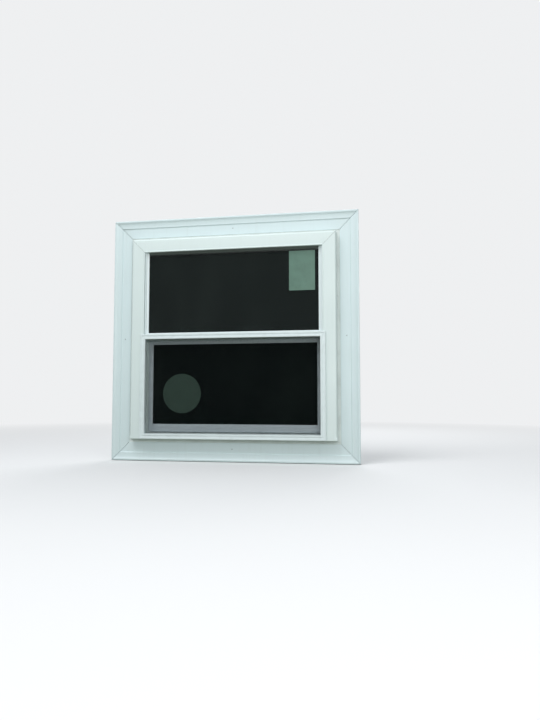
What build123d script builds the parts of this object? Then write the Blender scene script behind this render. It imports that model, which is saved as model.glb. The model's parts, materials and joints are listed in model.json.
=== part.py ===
from build123d import *
import os

# A vinyl single-hung window in its exterior casing, with a half insect screen.
# X runs to the right as seen from outside, Y into the room and Z up.
# The origin is the middle of the sill's underside, in the plane of the wall's outer face.

# Window frame
frame_width = 934.0
frame_height = 912.0
frame_front = -45.0
frame_back = 37.6
face_width = 61.0
frame_wall = 2.4
face_round = 7.0
rim_width = 6.0
rim_rise = 1.5
box_back = 2.0
track_inset = 34.0
slot_low = 22.0
slot_high = 30.0
leg_reach = 12.0
leg_thickness = 2.5

# Sill and meeting rail
sill_base = 8.0
sill_nose = 14.0
sill_relief = 0.8
sill_seat = 28.0
rail_bottom = frame_height / 2 - 7.0
rail_front = -36.0
rail_box_height = 14.0
rail_upstand = 31.0
rail_upstand_top = rail_bottom + rail_upstand

# Double glazing
pane = 3.0
upper_gap = 10.0
upper_glass_front = -25.0
lower_gap = 9.0
lower_glass_front = 10.0
spacer_width = 9.0
tape = 1.5
pane_clearance = 4.0
block_length = 80.0

# Beads: the visible width of each
side_bead = 16.0
top_bead = 10.0
bottom_bead_top = rail_upstand_top
bead_depth = 10.0
sash_bead = 12.0

# Lower sash
sash_front = 6.0
sash_back = 36.0
sash_gap = 3.0
sash_bottom = 30.0
sash_top = rail_upstand_top + 4.0
stile_width = 39.0
top_rail_height = 42.0
bottom_rail_height = 24.0
sash_leg = 10.0
sash_wall = 2.2
bottom_chamfer_in = 4.0
bottom_chamfer_out = 3.0
seal_groove_width = 7.0
seal_depth = 1.5
seal_width = 6.8
seal_fin = 3.0
stile_seal_inset = 15.0
rail_seal_drop = 21.5
bulb_y = 16.5
bulb_groove_width = 5.0
bulb_stem = 4.8
bulb_width = 4.0
lift_reach = 5.5
lift_thickness = 4.0

# Pivots and balances
pivot_y = 26.0
pivot_z = 44.0
pivot_radius = 3.5
cam_radius = 8.0
running_gap = 0.3
slide_gap = 1.0
shoe_low = 22.0
shoe_high = 62.0
ribbon_width = 14.0
ribbon_thickness = 0.4
coil_radius = 13.5
coil_bore = 8.0
coil_bottom = rail_bottom - 9.0
coil_height = 34.0
housing_wall = 2.0

# Cam locks and tilt latches
lock_spacing = 480.0
lock_length = 62.0
lock_front = 6.5
lock_back = 35.5
lock_height = 12.0
lock_pivot_y = 14.5
lock_screw_offset = 24.0
lock_screw_sink = 2.0
cam_low = 2.0
cam_height = 6.5
cam_arm = 3.5
cam_inner = 16.2
cam_outer = 18.8
cam_half_angle = 28.0
lever_length = 44.0
keeper_length = 44.0
keeper_tongue = 11.0
keeper_rise = 8.4
latch_length = 60.0
latch_front = 19.0
latch_height = 8.0
latch_travel = 10.0
tongue_width = 5.0

# Exterior casing
casing_width = 82.5
casing_thickness = 19.0
casing_gap = 15.5
nail_radius = 1.3
nail_head_radius = 2.6
nail_length = 50.0
nail_inset = 0.67
joint_groove = 1.4
mitre_angle = 45

# Insect screen
screen_lip = 14.0
screen_half_width = frame_width / 2 - face_width + screen_lip
screen_bottom = 2.0
screen_rise = 24.5
screen_top = rail_bottom + screen_rise
leaf_length = 50.0
leaf_width = 6.0
leaf_thickness = 0.4
leaf_inset = 115.0
bar_width = 23.0
bar_thickness = 6.0
bar_body = 7.5
bar_body_back = -37.0
spline_width = 3.4
spline_depth = 3.6
mesh_thickness = 0.6
mesh_columns = 9
mesh_rows = 6
mesh_gap = 6.0
mesh_ridge = 0.5

# Fasteners and labels
screw_radius = 2.1
pin_sides = 12
screw_head_radius = 4.0
install_hole_radius = 2.6
install_access_radius = 6.0
install_spacing = 600.0
keeper_screw_length = 12.0
lock_screw_length = 16.0
latch_screw_length = 12.0
label_thickness = 0.2
rectangle_label_width = 115.0
rectangle_label_height = 177.0
rectangle_label_side = 32.0
rectangle_label_drop = 16.0
round_label_radius = 90.0
round_label_side = 75.0
round_label_rise = 85.0

half_width = frame_width / 2
front_y = frame_front - rim_rise
leg_back = upper_glass_front + 2 * pane + upper_gap + tape + leg_thickness
leg_front = leg_back - leg_thickness
opening_half = half_width - face_width
opening_top = frame_height - face_width
track_half = half_width - track_inset
rail_pocket = rail_bottom + rail_box_height


def outline(*points):
    """A flat closed shape through the points."""
    return make_face(Polyline(*points, close=True))


def rectangle(low, high):
    """A flat rectangle between two opposite corners."""
    return outline(low, (high[0], low[1]), high, (low[0], high[1]))


def rounded(shape, *corners):
    """The shape with a radius on each named corner, given as (point, radius)."""
    for point, radius in corners:
        corner = shape.vertices().sort_by_distance((point[0], point[1], 0))[0]
        shape = fillet(corner, radius)
    return shape


def box(low, high):
    """A box between two opposite corners."""
    size = [b - a for a, b in zip(low, high)]
    return Pos(*low) * Box(*size, align=(Align.MIN, Align.MIN, Align.MIN))


def along(axis, bar, centre, low):
    """Lays an upright bar along an axis; centre holds its other two coordinates in order."""
    if axis == "X":
        return Pos(low, centre[0], centre[1]) * Rot(0, 90, 0) * bar
    if axis == "Y":
        return Pos(centre[0], low, centre[1]) * Rot(-90, 0, 0) * bar
    return Pos(centre[0], centre[1], low) * bar


def rod(axis, centre, radius, low, high):
    """A round bar along X, Y or Z."""
    bar = Cylinder(radius, high - low, align=(Align.CENTER, Align.CENTER, Align.MIN))
    return along(axis, bar, centre, low)


def pin(axis, centre, radius, low, high):
    """A small fastener's shank, head or bore, with few sides because there are many of them."""
    bar = extrude(RegularPolygon(radius, pin_sides), high - low)
    return along(axis, bar, centre, low)


def side_plane(rect, side):
    """The plane of one side's section: x inward from the edge, y into the room."""
    half, bottom, top = rect
    if side == "left":
        return Plane((-half, 0, bottom), x_dir=(1, 0, 0), z_dir=(0, 0, 1))
    if side == "right":
        return Plane((half, 0, top), x_dir=(-1, 0, 0), z_dir=(0, 0, -1))
    if side == "top":
        return Plane((-half, 0, top), x_dir=(0, 0, -1), z_dir=(1, 0, 0))
    return Plane((half, 0, bottom), x_dir=(0, 0, 1), z_dir=(-1, 0, 0))


def side_length(rect, side):
    half, bottom, top = rect
    return 2 * half if side in ("top", "bottom") else top - bottom


def mitre_block(rect, side, reach):
    """The space that one side of a mitred rectangle may fill."""
    half, bottom, top = rect
    left_low = ((-half, bottom), (-half + reach, bottom + reach))
    left_high = ((-half, top), (-half + reach, top - reach))
    right_low = ((half, bottom), (half - reach, bottom + reach))
    right_high = ((half, top), (half - reach, top - reach))
    ends = {
        "left": (left_low, left_high),
        "right": (right_low, right_high),
        "top": (left_high, right_high),
        "bottom": (left_low, right_low),
    }[side]
    first, last = ends
    face = Plane.XZ * outline(first[0], first[1], last[1], last[0])
    return extrude(face, amount=200, both=True)


def run(section, rect, side):
    """A section extruded along one whole side of a rectangle."""
    return extrude(side_plane(rect, side) * section, amount=side_length(rect, side))


def mitred(section, rect, side, reach):
    """A section along one side, cut at 45 degrees at both ends."""
    return run(section, rect, side) & mitre_block(rect, side, reach)


def ring(section, rect, reach):
    """A section carried round all four sides as one piece."""
    sides = [mitred(section, rect, side, reach) for side in ("left", "right", "top", "bottom")]
    return sides[0] + sides[1] + sides[2] + sides[3]


def strips(section, rect, reach):
    """The same section on four sides as separate mitred pieces."""
    return [mitred(section, rect, side, reach) for side in ("left", "right", "top", "bottom")]


def plate(rect, low_y, high_y):
    """A flat sheet that fills a rectangle."""
    half, bottom, top = rect
    return box((-half, low_y, bottom), (half, high_y, top))


def screw(axis, centre, tip, seat, head, head_radius=screw_head_radius):
    """A screw from its tip to the seat under its head; the drive slot is left out."""
    low, high = min(tip, seat), max(tip, seat)
    shank = pin(axis, centre, screw_radius, low, high)
    if seat > tip:
        cap = pin(axis, centre, head_radius, seat, seat + head)
    else:
        cap = pin(axis, centre, head_radius, seat - head, seat)
    return shank + cap


def frame_outline():
    """The filled outline that the head and both jambs share."""
    rim_low = face_width - rim_width
    rim_mid = face_width - rim_width / 2
    face = make_face(
        Polyline((rim_low, frame_front), (0, frame_front), (0, frame_back), (track_inset, frame_back),
                 (track_inset, box_back), (face_width, box_back), (face_width, leg_back),
                 (face_width + leg_reach, leg_back), (face_width + leg_reach, leg_front),
                 (face_width, leg_front), (face_width, frame_front))
        + ThreePointArc((face_width, frame_front), (rim_mid, front_y), (rim_low, frame_front))
    )
    return rounded(face, ((0, frame_front), face_round))


def frame_section():
    """The hollow section: a front box in two chambers and the balance channel with its slot."""
    wall = frame_wall
    middle = (face_width + wall) / 2
    chambers = [
        rounded(rectangle((wall, frame_front + wall), (middle - wall, box_back - wall)),
                ((wall, frame_front + wall), face_round - wall)),
        rectangle((middle, frame_front + wall), (face_width - wall, box_back - wall)),
        rectangle((wall, box_back), (track_inset - wall, frame_back - wall)),
        rectangle((track_inset - wall, slot_low), (track_inset, slot_high)),
    ]
    shape = frame_outline()
    for chamber in chambers:
        shape = shape - chamber
    return shape


frame_rect = (half_width, 0, frame_height)
frame_top_rect = (half_width, sill_base, frame_height)
frame_reach = face_width + leg_reach
install_low = frame_height / 2 - install_spacing / 2


def jamb_block(side):
    """The space of one jamb: mitred against the head, square on the sill's end."""
    sign = -1 if side == "left" else 1
    half = half_width
    reach = frame_reach
    face = Plane.XZ * outline((sign * half, sill_base), (sign * half, frame_height),
                              (sign * (half - reach), frame_height - reach),
                              (sign * (half - reach), sill_base))
    return extrude(face, amount=200, both=True)


def make_jamb(side):
    jamb = run(frame_section(), frame_top_rect, side) & jamb_block(side)
    sign = -1 if side == "left" else 1
    edge = sign * half_width
    inner = sign * (half_width - track_inset)
    hole_y = (box_back + frame_back) / 2
    for height in (install_low, install_low + install_spacing):
        outer_low, outer_high = sorted((edge - sign * -1, edge - sign * 6))
        jamb -= rod("X", (hole_y, height), install_hole_radius, outer_low, outer_high)
        inner_low, inner_high = sorted((inner - sign, inner + sign * 6))
        jamb -= rod("X", (hole_y, height), install_access_radius, inner_low, inner_high)
    return jamb


def jamb_envelopes(bottom):
    """Both jambs as filled shapes, for coping what meets them."""
    rect = (half_width, bottom, frame_height)
    return run(frame_outline(), rect, "left") + run(frame_outline(), rect, "right")


sill_step_y = leg_front
sill_step_low = sill_seat - 6.0
sill_step_high = sill_seat - 2.0


def sill_section():
    """The sloped hollow sill, with a closed base that passes under the jambs."""
    wall = frame_wall
    shape = outline((sill_relief, frame_front), (sill_nose, frame_front), (sill_step_low, sill_step_y),
                    (sill_step_high, sill_step_y), (sill_seat, frame_back), (0, frame_back),
                    (0, 0), (sill_relief, 0))
    shape = rounded(shape, ((sill_relief, frame_front), wall), ((sill_nose, frame_front), wall))
    shape = shape - rectangle((wall, frame_front + wall), (sill_base - wall, frame_back - wall))
    front_web = sill_step_y - wall
    shape = shape - outline((sill_base, frame_front + wall), (sill_nose - wall, frame_front + wall),
                            (sill_step_low - wall, front_web), (sill_base, front_web))
    split = (sill_step_y + frame_back) / 2
    top = sill_step_high - wall
    shape = shape - rectangle((sill_base, sill_step_y + wall), (top, split - wall / 2))
    shape = shape - rectangle((sill_base, split + wall / 2), (top, frame_back - wall))
    return shape


def make_sill():
    sill = run(sill_section(), frame_rect, "bottom")
    rear = box((track_half, box_back, sill_base), (half_width, frame_back, sill_seat))
    sill = sill - rear - mirror(rear, about=Plane.YZ) - jamb_envelopes(sill_base)
    weep_length = 25.0
    weep_height = 3.0
    for x in (-half_width * 0.6, half_width * 0.6):
        sill -= box((x - weep_length / 2, frame_front - 1, sill_base + 0.5),
                    (x + weep_length / 2, frame_front + frame_wall + 1, sill_base + 0.5 + weep_height))
    return sill


def make_meeting_rail():
    """The fixed rail: a hollow box with an upstand behind the upper glass."""
    wall = frame_wall
    base = rail_bottom
    shape = outline((base, rail_front), (rail_pocket, rail_front), (rail_pocket, leg_front),
                    (rail_upstand_top, leg_front), (rail_upstand_top, box_back), (base, box_back))
    shape = rounded(shape, ((base, rail_front), wall), ((base, box_back), wall))
    shape -= rectangle((base + wall, rail_front + wall), (rail_pocket - wall, box_back - wall))
    shape -= rectangle((rail_pocket, leg_front + wall), (rail_upstand_top - wall, box_back - wall))
    return run(shape, frame_rect, "bottom") - jamb_envelopes(0)


upper_glass_rect = (opening_half - pane_clearance, rail_pocket + pane_clearance,
                    opening_top - pane_clearance)
upper_outer_back = upper_glass_front + pane
upper_inner_front = upper_outer_back + upper_gap
upper_back = upper_inner_front + pane
upper_edge_beads = upper_glass_front - 0.5

sash_half = track_half - sash_gap
sash_rect = (sash_half, sash_bottom, sash_top)
lower_glass_rect = (sash_half - stile_width - sash_gap,
                    sash_bottom + bottom_rail_height + sash_gap,
                    sash_top - top_rail_height - sash_gap)
lower_outer_back = lower_glass_front + pane
lower_inner_front = lower_outer_back + lower_gap
lower_back = lower_inner_front + pane
lower_leg_front = lower_back + tape


def make_blocks(rect, front, back, drop):
    """Two setting blocks under a glass unit, at its quarter points."""
    half, bottom, top = rect
    centres = (-half / 2, half / 2)
    return [box((x - block_length / 2, front, bottom - drop), (x + block_length / 2, back, bottom))
            for x in centres]


def make_upper_beads():
    """Stepped beads at the sides and plain sloped beads above and below the upper glass."""
    back = upper_edge_beads
    lip = 3.0
    gap = 0.5
    start = face_width + gap
    side = outline((start, back - bead_depth - 1), (start + 5, back - bead_depth - 1),
                   (start + 6, back - bead_depth + lip), (face_width + side_bead, back - lip),
                   (face_width + side_bead, back), (start, back))
    top = outline((start, back - bead_depth + 1), (face_width + top_bead, back - lip + 1),
                  (face_width + top_bead, back), (start, back))
    bead_half = opening_half - side_bead
    bead_rect = (half_width, rail_pocket, frame_height)
    left = run(side, bead_rect, "left") & box((-half_width, front_y, rail_pocket),
                                              (0, 0, opening_top))
    right = mirror(left, about=Plane.YZ)
    upper = run(top, bead_rect, "top") & box((-bead_half, front_y, 0), (bead_half, 0, frame_height))
    shelf = rail_pocket
    low = outline((shelf, rail_front), (bottom_bead_top - 7, rail_front),
                  (bottom_bead_top, back - lip), (bottom_bead_top, back), (shelf, back))
    lower = run(low, frame_rect, "bottom") & box((-bead_half, rail_front, 0),
                                                 (bead_half, 0, frame_height))
    return {"upper_bead_left": left, "upper_bead_right": right,
            "upper_bead_top": upper, "upper_bead_bottom": lower}


def casing_section():
    """A moulded casing: thick outer edge, a cove, a flat band, a step and a thin inner flat."""
    outer = casing_thickness
    band = outer - 5.0
    inner = outer - 8.5
    cove_start = 7.0
    cove_end = 18.0
    step_start = 35.0
    step_end = 38.5
    thin = outer - 10.0
    lines = Polyline((cove_start, -outer), (0, -outer), (0, 0), (casing_width, 0),
                     (casing_width, -thin), (step_end, -inner), (step_start, -band),
                     (cove_end, -band - 0.3))
    cove = ThreePointArc((cove_end, -band - 0.3),
                         ((cove_start + cove_end) / 2, -(outer + band) / 2 + 0.6),
                         (cove_start, -outer))
    return rounded(make_face(lines + cove), ((0, -outer), 2.0), ((casing_width, -thin), 1.0))


casing_half = half_width + casing_gap + casing_width
casing_rect = (casing_half, -casing_gap - casing_width, frame_height + casing_gap + casing_width)


def mitre_grooves(rect, width, front, back):
    """Thin slots along the four mitre lines of a rectangle, in the faces that show."""
    half, bottom, top = rect
    slot = Box(4 * (casing_width + frame_reach), back - front, width,
               align=(Align.CENTER, Align.MIN, Align.CENTER))
    corners = [(-half, bottom, -mitre_angle), (half, top, -mitre_angle), (half, bottom, mitre_angle),
               (-half, top, mitre_angle)]
    return [Pos(x, front, z) * Rot(0, angle, 0) * slot for x, z, angle in corners]


def make_casing():
    section = casing_section()
    parts = {"casing_" + side: mitred(section, casing_rect, side, casing_width + 5)
             for side in ("left", "right", "top", "bottom")}
    for groove in mitre_grooves(casing_rect, joint_groove, -casing_thickness - 1, -3):
        for name in parts:
            parts[name] -= groove
    return parts


def nail_places():
    """One nail in the flat of each casing, at the middle of its length."""
    inset = casing_half - casing_width * nail_inset
    half_height = frame_height / 2 + casing_gap + casing_width * (1 - nail_inset)
    middle = frame_height / 2
    return [(-inset, middle), (inset, middle), (0, middle + half_height), (0, middle - half_height)]


def make_nails():
    seat = -(casing_thickness - 9.0)
    nails = []
    for place in nail_places():
        shank = pin("Y", place, nail_radius, seat - 1, seat + nail_length)
        head = pin("Y", place, nail_head_radius, seat - 1.4, seat)
        nails.append(shank + head)
    return nails


def make_sealant():
    """The tooled sealant between the frame and the casing, hollowed between its two edges."""
    outer_y = -(casing_thickness - 11.0)
    inner_y = outer_y - 5.0
    middle_y = outer_y + 1.0
    section = make_face(
        Polyline((casing_gap, inner_y), (casing_gap, -1), (0, -1), (0, outer_y))
        + ThreePointArc((0, outer_y), (casing_gap * 0.6, middle_y), (casing_gap, inner_y))
    )
    rect = (half_width + casing_gap, -casing_gap, frame_height + casing_gap)
    under_sill = box((-half_width, inner_y, 0), (half_width, -1, sill_relief))
    return ring(section, rect, casing_gap + 1) + under_sill


screen_rect = (screen_half_width, screen_bottom, screen_top)
bar_back = front_y
bar_front = bar_back - bar_thickness


def bar_section():
    """A rolled screen bar: two ribs with a groove, a hollow flange and a body with the spline groove."""
    body = bar_width - bar_body
    groove = bar_front + 1.5
    wall = 1.0
    spline_in = body + (bar_body - spline_width) / 2
    spline_out = spline_in + spline_width
    shape = outline((0, bar_back), (0, bar_front + wall), (wall, bar_front), (7, bar_front),
                    (8, groove), (15, groove), (16, bar_front), (bar_width - wall, bar_front),
                    (bar_width, bar_front + wall), (bar_width, bar_body_back),
                    (spline_out, bar_body_back), (spline_out, bar_body_back - spline_depth),
                    (spline_in, bar_body_back - spline_depth), (spline_in, bar_body_back),
                    (body, bar_body_back), (body, bar_back))
    return shape - rectangle((wall, groove + wall), (body - wall, bar_back - wall))


def make_screen():
    parts = {}
    for side in ("left", "right", "top", "bottom"):
        parts["screen_bar_" + side] = mitred(bar_section(), screen_rect, side, bar_width + 2)
    key_front = bar_front + 2.6
    key_back = bar_back - 1.1
    key_width = bar_width - bar_body - 2.4
    half, bottom, top = screen_rect
    leg = 45.0
    inset = 1.2
    keys = []
    for sx in (-1, 1):
        for low in (True, False):
            z = bottom + inset if low else top - inset
            rise = 1 if low else -1
            x = sx * (half - inset)
            upright = outline((x, z), (x - sx * leg, z), (x - sx * leg, z + rise * key_width),
                              (x - sx * key_width, z + rise * key_width),
                              (x - sx * key_width, z + rise * leg), (x, z + rise * leg))
            flat = Plane.XZ * upright
            keys.append(Pos(0, key_back, 0) * extrude(flat, amount=key_back - key_front))
    parts["screen_corner_keys"] = keys
    body = bar_width - bar_body
    spline_in = body + (bar_body - spline_width) / 2
    cord = rectangle((spline_in + 0.1, bar_body_back - spline_depth + 0.2),
                     (spline_in + spline_width - 0.1, bar_body_back))
    parts["screen_spline"] = strips(cord, screen_rect, bar_width + 2)
    parts["insect_mesh"] = make_mesh(spline_in + spline_width)
    parts["screen_springs"] = make_screen_springs(body)
    return parts


def make_mesh(edge):
    """The insect mesh as one thin wall with woven ridges and a grid of small gaps."""
    half, bottom, top = screen_rect
    low_x, high_x = -half + edge, half - edge
    low_z, high_z = bottom + edge, top - edge
    front = bar_body_back
    back = front + mesh_thickness
    mesh = box((low_x, front, low_z), (high_x, back, high_z))
    pitch_x = (high_x - low_x) / mesh_columns
    pitch_z = (high_z - low_z) / mesh_rows
    clear = bar_width - edge + 0.5
    for column in range(1, mesh_columns):
        x = low_x + column * pitch_x
        mesh += box((x - mesh_ridge, front - mesh_ridge, low_z + clear),
                    (x + mesh_ridge, back, high_z - clear))
    for row in range(1, mesh_rows):
        z = low_z + row * pitch_z
        mesh += box((low_x + clear, front - mesh_ridge / 2, z - mesh_ridge),
                    (high_x - clear, back, z + mesh_ridge))
    holes = []
    for column in range(mesh_columns):
        for row in range(mesh_rows):
            x = low_x + (column + 0.5) * pitch_x
            z = low_z + (row + 0.5) * pitch_z
            holes.append(box((x - mesh_gap / 2, front - 1, z - mesh_gap / 2),
                             (x + mesh_gap / 2, back + 1, z + mesh_gap / 2)))
    return mesh - Compound(children=holes)


def make_screen_springs(body):
    """Two thin bowed strips that press the screen's left bar away from the jamb."""
    outer = -opening_half
    inner = -screen_half_width + body
    reach = leaf_length / 2
    middle_y = (bar_back + bar_body_back) / 2
    springs = []
    for z in (screen_bottom + leaf_inset, screen_top - leaf_inset):
        bow = (ThreePointArc((outer, z - reach), (inner - leaf_thickness, z), (outer, z + reach))
               + Polyline((outer, z + reach), (outer + leaf_thickness, z + reach))
               + ThreePointArc((outer + leaf_thickness, z + reach), (inner, z),
                               (outer + leaf_thickness, z - reach))
               + Polyline((outer + leaf_thickness, z - reach), (outer, z - reach)))
        strip = extrude(Plane.XZ * make_face(bow), amount=leaf_width / 2, both=True)
        springs.append(Pos(0, middle_y, 0) * strip)
    return springs


def sash_member(width, lower_rail=False, lift=False):
    """A sash section: a hollow main box and the leg that the glass bears on, u inward from the edge."""
    wall = sash_wall
    inner = width + sash_leg
    shape = outline((0, sash_front), (width, sash_front), (width, lower_leg_front),
                    (inner, lower_leg_front), (inner, sash_back), (0, sash_back))
    chamber_front, chamber_back = sash_front + wall, sash_back - wall
    if lower_rail:
        corner_out = (0, sash_front)
        corner_in = (0, sash_back)
        shape = chamfer(shape.vertices().sort_by_distance((*corner_out, 0))[0], bottom_chamfer_out)
        shape = chamfer(shape.vertices().sort_by_distance((*corner_in, 0))[0], bottom_chamfer_in)
    if lift:
        top = width - 2
        shape += rounded(rectangle((top - lift_thickness, sash_back - 1), (top, sash_back + lift_reach)),
                         ((top, sash_back + lift_reach), 1.5),
                         ((top - lift_thickness, sash_back + lift_reach), 1.5))
    inset = bottom_chamfer_in if lower_rail else wall
    shape -= rectangle((inset, chamber_front), (width - wall, (sash_front + sash_back) / 2 - 1))
    shape -= rectangle((inset, (sash_front + sash_back) / 2 + 1), (width - wall, chamber_back))
    shape -= rectangle((width, lower_leg_front + wall), (inner - wall, chamber_back))
    return shape


def make_sash_members():
    half = sash_half
    inner = half - stile_width
    leg_inner = inner - sash_leg
    stile = run(sash_member(stile_width), sash_rect, "left")
    low_cut = outline((sash_front, sash_bottom), (sash_front + bottom_chamfer_out, sash_bottom),
                      (sash_front, sash_bottom + bottom_chamfer_out))
    back_cut = outline((sash_back, sash_bottom), (sash_back - bottom_chamfer_in, sash_bottom),
                       (sash_back, sash_bottom + bottom_chamfer_in))
    for cut in (low_cut, back_cut):
        stile -= extrude(Plane.YZ * cut, amount=2 * half, both=True)
    stile -= rod("X", (pivot_y, pivot_z), pivot_radius + 0.1, -half - 1, -inner + 1)
    groove_x = -half + stile_seal_inset
    groove_reach = seal_groove_width / 2
    groove_back = sash_front + seal_depth
    stile -= box((groove_x - groove_reach, sash_front - 1, pivot_z),
                 (groove_x + groove_reach, groove_back, sash_top))
    top_rail = run(sash_member(top_rail_height), sash_rect, "top")
    bottom_rail = run(sash_member(bottom_rail_height, lower_rail=True, lift=True), sash_rect, "bottom")
    main = box((-inner, 0, 0), (inner, frame_back * 2, frame_height))
    legs = box((-half, lower_leg_front, 0), (-leg_inner, sash_back, frame_height))
    legs += mirror(legs, about=Plane.YZ)
    groove_z = sash_top - rail_seal_drop
    seal_groove = box((-inner, sash_front - 1, groove_z - groove_reach),
                      (inner, groove_back, groove_z + groove_reach))
    bulb_groove = box((-inner, bulb_y - bulb_groove_width / 2, sash_bottom - 1),
                      (inner, bulb_y + bulb_groove_width / 2, sash_bottom + seal_depth))
    top_rail = (top_rail & main) - legs - seal_groove
    bottom_rail = (bottom_rail & main) - legs - bulb_groove
    return {"sash_stile_left": stile, "sash_stile_right": mirror(stile, about=Plane.YZ),
            "sash_top_rail": top_rail, "sash_bottom_rail": bottom_rail}


def make_lower_beads():
    """Snap-in beads on the outside of the sash glass, side beads full height."""
    front = sash_front + 0.5
    back = lower_glass_front - 0.5
    low_edge = 0.8
    half = sash_half

    def bead(width):
        return outline((width, front), (width + 3, front), (width + sash_bead, back - low_edge),
                       (width + sash_bead, back), (width, back))

    inner = half - stile_width
    bead_inner = inner - sash_bead
    bottom = sash_bottom + bottom_rail_height
    top = sash_top - top_rail_height
    left = run(bead(stile_width), sash_rect, "left") & box((-half, 0, bottom), (0, sash_back, top))
    across = box((-bead_inner, 0, 0), (bead_inner, sash_back, frame_height))
    return {"lower_bead_left": left, "lower_bead_right": mirror(left, about=Plane.YZ),
            "lower_bead_top": run(bead(top_rail_height), sash_rect, "top") & across,
            "lower_bead_bottom": run(bead(bottom_rail_height), sash_rect, "bottom") & across}


def make_seals():
    """Pile strips on the front of the stiles and top rail, and a bulb under the bottom rail."""
    near = box_back + running_gap
    base_back = sash_front + seal_depth
    base_reach = seal_width / 2
    fin_reach = seal_fin / 2
    inner = sash_half - stile_width
    pile = []
    for sx in (-1, 1):
        x = sx * (sash_half - stile_seal_inset)
        base = box((x - base_reach, sash_front, pivot_z), (x + base_reach, base_back, sash_top))
        fin = box((x - fin_reach, near, pivot_z), (x + fin_reach, sash_front, sash_top))
        pile.append(base + fin)
    z = sash_top - rail_seal_drop
    base = box((-inner, sash_front, z - base_reach), (inner, base_back, z + base_reach))
    fin = box((-inner, near, z - fin_reach), (inner, sash_front, z + fin_reach))
    pile.append(base + fin)
    drop = sash_bottom - sill_seat - 0.6
    stem = box((-inner, bulb_y - bulb_stem / 2, sash_bottom),
               (inner, bulb_y + bulb_stem / 2, sash_bottom + seal_depth))
    lip = box((-inner, bulb_y - bulb_width / 2, sash_bottom - drop),
              (inner, bulb_y + bulb_width / 2, sash_bottom))
    return pile, stem + lip


channel_outer = half_width - frame_wall
channel_inner = track_half + frame_wall
shoe_inner = channel_inner + slide_gap
shoe_outer = channel_outer - slide_gap
ribbon_front = box_back + 3.6


def make_balances():
    """Shoe, pivot cam and bar, steel ribbon, coil and housing, for the left and right jambs."""
    parts = {name: [] for name in ("balance_shoes", "pivot_cams", "pivot_bars", "balance_ribbons",
                                   "balance_coils", "balance_housings")}
    shoe_front = box_back + slide_gap
    shoe_back = frame_back - frame_wall - slide_gap
    shoe_mid = (shoe_inner + shoe_outer) / 2
    cam_end = shoe_inner + 18
    shoe = box((shoe_inner, shoe_front, shoe_low), (shoe_outer, shoe_back, shoe_high))
    shoe = chamfer(shoe.edges().filter_by(Axis.X), 1.5)
    shoe -= rod("X", (pivot_y, pivot_z), cam_radius + running_gap, shoe_inner - 1, cam_end + 0.5)
    hook_low = shoe_high - 12
    pocket = box((shoe_mid - ribbon_width / 2 - 0.5, shoe_front - 1, hook_low),
                 (shoe_mid + ribbon_width / 2 + 0.5, ribbon_front + 2.4, shoe_high + 1))
    shoe -= pocket
    cam = rod("X", (pivot_y, pivot_z), cam_radius, shoe_inner + 0.4, cam_end)
    bar_end = cam_end - 3
    cam -= rod("X", (pivot_y, pivot_z), pivot_radius + 0.05, shoe_inner, bar_end + 0.1)
    bar = rod("X", (pivot_y, pivot_z), pivot_radius, sash_half - stile_width + 0.5, bar_end)
    ribbon = box((shoe_mid - ribbon_width / 2, ribbon_front, hook_low + 0.5),
                 (shoe_mid + ribbon_width / 2, ribbon_front + ribbon_thickness, coil_bottom))
    coil_y = ribbon_front + coil_radius
    coil_z = coil_bottom + coil_radius + housing_wall + 1
    low_x, high_x = shoe_mid - ribbon_width / 2, shoe_mid + ribbon_width / 2
    coil = rod("X", (coil_y, coil_z), coil_radius, low_x, high_x)
    coil += box((low_x, ribbon_front, coil_bottom), (high_x, ribbon_front + ribbon_thickness, coil_z))
    coil -= rod("X", (coil_y, coil_z), coil_bore, low_x - 1, high_x + 1)
    housing = box((low_x - 2.4, box_back, coil_bottom),
                  (channel_outer, frame_back - frame_wall, coil_bottom + coil_height))
    housing -= rod("X", (coil_y, coil_z), coil_radius + 0.4, low_x - 0.4, high_x + 0.4)
    housing -= box((low_x - 0.4, ribbon_front - 0.4, coil_bottom - 1),
                   (high_x + 0.4, ribbon_front + 2, coil_z))
    spool = rod("X", (coil_y, coil_z), coil_bore - 0.3, low_x - 0.4, high_x + 0.4)
    housing += spool
    right = {"balance_shoes": shoe, "pivot_cams": cam, "pivot_bars": bar,
             "balance_ribbons": ribbon, "balance_coils": coil, "balance_housings": housing}
    for name, piece in right.items():
        parts[name] = [mirror(piece, about=Plane.YZ), piece]
    return parts


def make_lock_base(x):
    """The fixed case of a cam lock, open to the outside where the cam swings out."""
    low, high = sash_top, sash_top + lock_height
    cam_z = low + cam_low
    base = box((x - lock_length / 2, lock_front, low), (x + lock_length / 2, lock_back, high))
    base = fillet(base.edges().filter_by(Axis.Z), 6)
    base = chamfer(base.faces().sort_by(Axis.Z)[-1].edges(), 1.5)
    base -= rod("Z", (x, lock_pivot_y), cam_outer + 0.4, cam_z - 0.5, cam_z + cam_height + 0.5)
    base -= rod("Z", (x, lock_pivot_y), pivot_radius + running_gap, cam_z, high + 1)
    for side in (-1, 1):
        place = (x + side * lock_screw_offset, (lock_front + lock_back) / 2)
        base -= pin("Z", place, screw_radius, low - 1, high)
        base -= pin("Z", place, screw_head_radius, high - lock_screw_sink, high + 1)
    return base


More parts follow.
